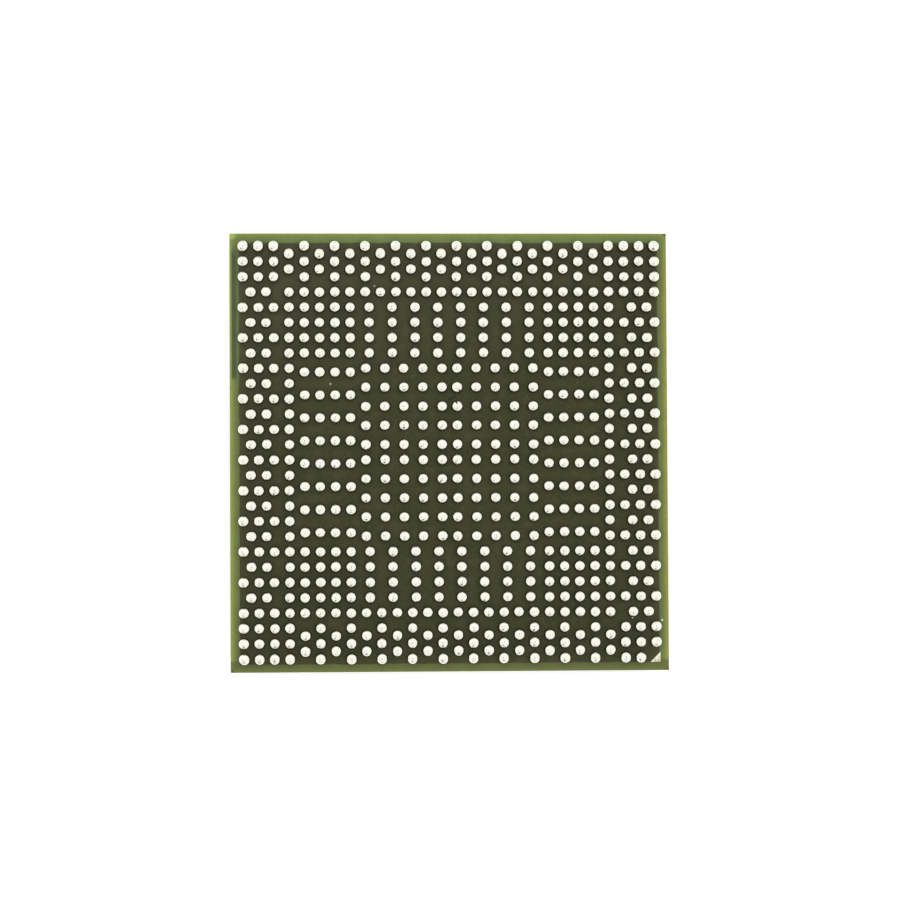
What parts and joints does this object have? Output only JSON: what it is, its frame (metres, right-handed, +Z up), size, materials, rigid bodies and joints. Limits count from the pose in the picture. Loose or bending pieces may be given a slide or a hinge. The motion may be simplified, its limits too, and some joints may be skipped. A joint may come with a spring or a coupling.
{
  "type": "ball grid array chip",
  "caption": "Square flip-chip ball grid array package, ball side up: green masked laminate with a zoned field of solder balls, bare die and chip capacitors underneath.",
  "frame": {"origin": "middle of the back face of the die, which is the lowest face and the one that the part rests on", "axes": "+Z up through the package towards the solder balls; +X and +Y along the package's sides, with the pin-one corner at +X and -Y"},
  "size_m": [0.023, 0.023, 0.0024],
  "materials": {
    "glass_epoxy": "sawn glass-epoxy laminate",
    "build_up_film": "matte",
    "solder_mask": "satin",
    "copper": "satin",
    "gold_finish": "satin",
    "solder_ball": "satin",
    "solder": "satin",
    "silicon": "polished",
    "underfill": "satin",
    "capacitor_ceramic": "matte",
    "tinned_terminal": "satin"
  },
  "bodies": {
    "root": {"core_sheet": "glass_epoxy", "ball_side_film": "build_up_film", "die_side_film": "build_up_film", "core_vias": "copper", "ball_side_plane": "copper", "die_side_plane": "copper", "ball_pads": "copper", "bump_lands": "copper", "capacitor_lands": "gold_finish", "ball_side_mask": "solder_mask", "die_side_mask": "solder_mask", "pin_one_mark": "gold_finish", "die_side_mark": "gold_finish", "die": "silicon", "die_bumps": "solder", "underfill": "underfill", "capacitor_solder": "solder", "centre_balls": "solder_ball", "north_bank_balls": "solder_ball", "south_bank_balls": "solder_ball", "west_bank_balls": "solder_ball", "east_bank_balls": "solder_ball", "block_balls": "solder_ball", "ring_balls": "solder_ball", "north_edge_balls": "solder_ball", "south_edge_balls": "solder_ball", "west_edge_balls": "solder_ball", "east_edge_balls": "solder_ball", "corner_balls": "solder_ball", "capacitor_1_body": "capacitor_ceramic", "capacitor_1_terminals": "tinned_terminal", "capacitor_2_body": "capacitor_ceramic", "capacitor_2_terminals": "tinned_terminal", "capacitor_3_body": "capacitor_ceramic", "capacitor_3_terminals": "tinned_terminal", "capacitor_4_body": "capacitor_ceramic", "capacitor_4_terminals": "tinned_terminal", "capacitor_5_body": "capacitor_ceramic", "capacitor_5_terminals": "tinned_terminal", "capacitor_6_body": "capacitor_ceramic", "capacitor_6_terminals": "tinned_terminal", "capacitor_7_body": "capacitor_ceramic", "capacitor_7_terminals": "tinned_terminal", "capacitor_8_body": "capacitor_ceramic", "capacitor_8_terminals": "tinned_terminal"}
  },
  "joints": []
}
